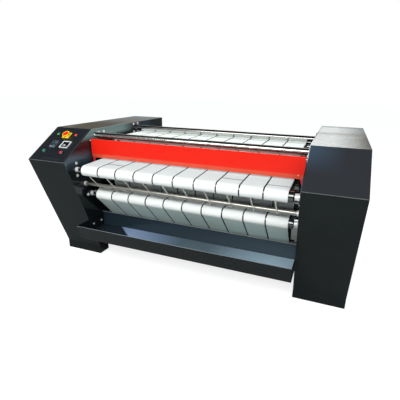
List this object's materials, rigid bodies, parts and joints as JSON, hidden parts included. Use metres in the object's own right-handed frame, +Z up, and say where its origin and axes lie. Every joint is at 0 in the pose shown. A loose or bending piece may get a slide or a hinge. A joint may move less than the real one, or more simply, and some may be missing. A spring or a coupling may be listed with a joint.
{
  "type": "flatwork ironer",
  "caption": "Roller ironer for sheets: end cabinets with a control panel carry a heated cylinder, ironing belts, feed and return conveyors, a hinged finger guard and a catch tray.",
  "frame": {"origin": "on the floor, below the middle of the machine's width and depth", "axes": "+X along the rollers from the control panel's cabinet to the other one, +Y from the feeding side to the rear, +Z up"},
  "size_m": [2.472, 1.576, 1.136],
  "materials": {
    "casing_paint": "charcoal powder coat, satin",
    "side_frame_paint": "black paint, gloss",
    "panel_paint": "charcoal, satin",
    "tray_paint": "dark blue-grey paint, gloss",
    "tube_chrome": "polished chrome",
    "finger_steel": "satin",
    "guard_paint": "red paint, gloss",
    "cylinder_steel": "ground and polished",
    "roller_steel": "turned",
    "belt_felt": "white needle felt",
    "motor_paint": "blue-grey paint",
    "switch_yellow": "yellow, gloss",
    "red_plastic": "red, gloss",
    "green_plastic": "green, gloss",
    "controller_plastic": "blue-grey, satin",
    "display_plastic": "white, satin"
  },
  "bodies": {
    "machine": {"left_side_frame": "side_frame_paint", "right_side_frame": "side_frame_paint", "left_casing": "casing_paint", "right_casing": "casing_paint", "rear_cover": "casing_paint", "control_panel": "panel_paint", "catch_tray": "tray_paint", "front_cross_tube": "tube_chrome", "rear_cross_tube": "tube_chrome", "guide_fingers": "finger_steel", "gear_motor": "motor_paint", "main_switch_base": "switch_yellow", "green_lamp": "green_plastic", "red_lamp": "red_plastic", "temperature_controller": "controller_plastic", "speed_display": "display_plastic", "feed_belt_01": "belt_felt", "feed_belt_02": "belt_felt", "feed_belt_03": "belt_felt", "feed_belt_04": "belt_felt", "feed_belt_05": "belt_felt", "feed_belt_06": "belt_felt", "feed_belt_07": "belt_felt", "feed_belt_08": "belt_felt", "feed_belt_09": "belt_felt", "feed_belt_10": "belt_felt", "ironing_belt_01": "belt_felt", "ironing_belt_02": "belt_felt", "ironing_belt_03": "belt_felt", "ironing_belt_04": "belt_felt", "ironing_belt_05": "belt_felt", "ironing_belt_06": "belt_felt", "ironing_belt_07": "belt_felt", "ironing_belt_08": "belt_felt", "ironing_belt_09": "belt_felt", "ironing_belt_10": "belt_felt", "return_belt_01": "belt_felt", "return_belt_02": "belt_felt", "return_belt_03": "belt_felt", "return_belt_04": "belt_felt", "return_belt_05": "belt_felt", "return_belt_06": "belt_felt", "return_belt_07": "belt_felt", "return_belt_08": "belt_felt", "return_belt_09": "belt_felt", "return_belt_10": "belt_felt"},
    "cylinder": {"heated_cylinder": "cylinder_steel"},
    "feed_front": {"feed_front_roller": "roller_steel"},
    "feed_rear": {"feed_rear_roller": "roller_steel"},
    "press_top_front": {"press_top_front_roller": "roller_steel"},
    "press_top_rear": {"press_top_rear_roller": "roller_steel"},
    "press_bottom_front": {"press_bottom_front_roller": "roller_steel"},
    "press_bottom_rear": {"press_bottom_rear_roller": "roller_steel"},
    "return_front": {"return_front_roller": "roller_steel"},
    "return_rear": {"return_rear_roller": "roller_steel"},
    "return_tension": {"return_tension_roller": "roller_steel"},
    "guard": {"finger_guard": "guard_paint"},
    "switch_knob": {"main_switch_knob": "red_plastic"},
    "start": {"start_button": "green_plastic"},
    "stop": {"stop_button": "red_plastic"}
  },
  "joints": [
    {"name": "cylinder_turn", "type": "hinge", "parent": "machine", "child": "cylinder", "pos_m": [0, 0.013, 0.76], "axis": [1, 0, 0], "continuous": true},
    {"name": "feed_front_turn", "type": "hinge", "parent": "machine", "child": "feed_front", "pos_m": [0, -0.66, 0.843], "axis": [1, 0, 0], "continuous": true},
    {"name": "feed_rear_turn", "type": "hinge", "parent": "machine", "child": "feed_rear", "pos_m": [0, -0.215, 0.868], "axis": [1, 0, 0], "continuous": true},
    {"name": "press_top_front_turn", "type": "hinge", "parent": "machine", "child": "press_top_front", "pos_m": [0, -0.12, 1.003], "axis": [1, 0, 0], "continuous": true},
    {"name": "press_top_rear_turn", "type": "hinge", "parent": "machine", "child": "press_top_rear", "pos_m": [0, 0.293, 1.003], "axis": [1, 0, 0], "continuous": true},
    {"name": "press_bottom_front_turn", "type": "hinge", "parent": "machine", "child": "press_bottom_front", "pos_m": [0, -0.232, 0.655], "axis": [1, 0, 0], "continuous": true},
    {"name": "press_bottom_rear_turn", "type": "hinge", "parent": "machine", "child": "press_bottom_rear", "pos_m": [0, 0.333, 0.46], "axis": [1, 0, 0], "continuous": true},
    {"name": "return_front_turn", "type": "hinge", "parent": "machine", "child": "return_front", "pos_m": [0, -0.509, 0.603], "axis": [1, 0, 0], "continuous": true},
    {"name": "return_rear_turn", "type": "hinge", "parent": "machine", "child": "return_rear", "pos_m": [0, -0.357, 0.608], "axis": [1, 0, 0], "continuous": true},
    {"name": "return_tension_turn", "type": "hinge", "parent": "machine", "child": "return_tension", "pos_m": [0, -0.277, 0.352], "axis": [1, 0, 0], "continuous": true},
    {"name": "guard_swing", "type": "hinge", "parent": "machine", "child": "guard", "pos_m": [0, -0.474, 1.048], "axis": [1, 0, 0], "range_deg": [0, 8]},
    {"name": "main_switch_turn", "type": "hinge", "parent": "machine", "child": "switch_knob", "pos_m": [-1.05, -0.54537, 1.10072], "axis": [0, 0.528, -0.8492], "range_deg": [0, 90]},
    {"name": "start_push", "type": "slide", "parent": "machine", "child": "start", "axis": [0, 0.528, -0.8492], "range_m": [0, 0.004], "stiffness_N_per_m": 300, "springref_m": -0.002},
    {"name": "stop_push", "type": "slide", "parent": "machine", "child": "stop", "axis": [0, 0.528, -0.8492], "range_m": [0, 0.004], "stiffness_N_per_m": 300, "springref_m": -0.002}
  ],
  "couplings": [
    {"joint": "feed_front_turn", "follows": "cylinder_turn", "ratio": 5.1351},
    {"joint": "feed_rear_turn", "follows": "cylinder_turn", "ratio": 5.9375},
    {"joint": "press_top_front_turn", "follows": "cylinder_turn", "ratio": -4.2222},
    {"joint": "press_top_rear_turn", "follows": "cylinder_turn", "ratio": -4.2222},
    {"joint": "press_bottom_front_turn", "follows": "cylinder_turn", "ratio": -4.2222},
    {"joint": "press_bottom_rear_turn", "follows": "cylinder_turn", "ratio": -4.2222},
    {"joint": "return_front_turn", "follows": "cylinder_turn", "ratio": -5.4286},
    {"joint": "return_rear_turn", "follows": "cylinder_turn", "ratio": -6.3333},
    {"joint": "return_tension_turn", "follows": "cylinder_turn", "ratio": -7.6}
  ]
}
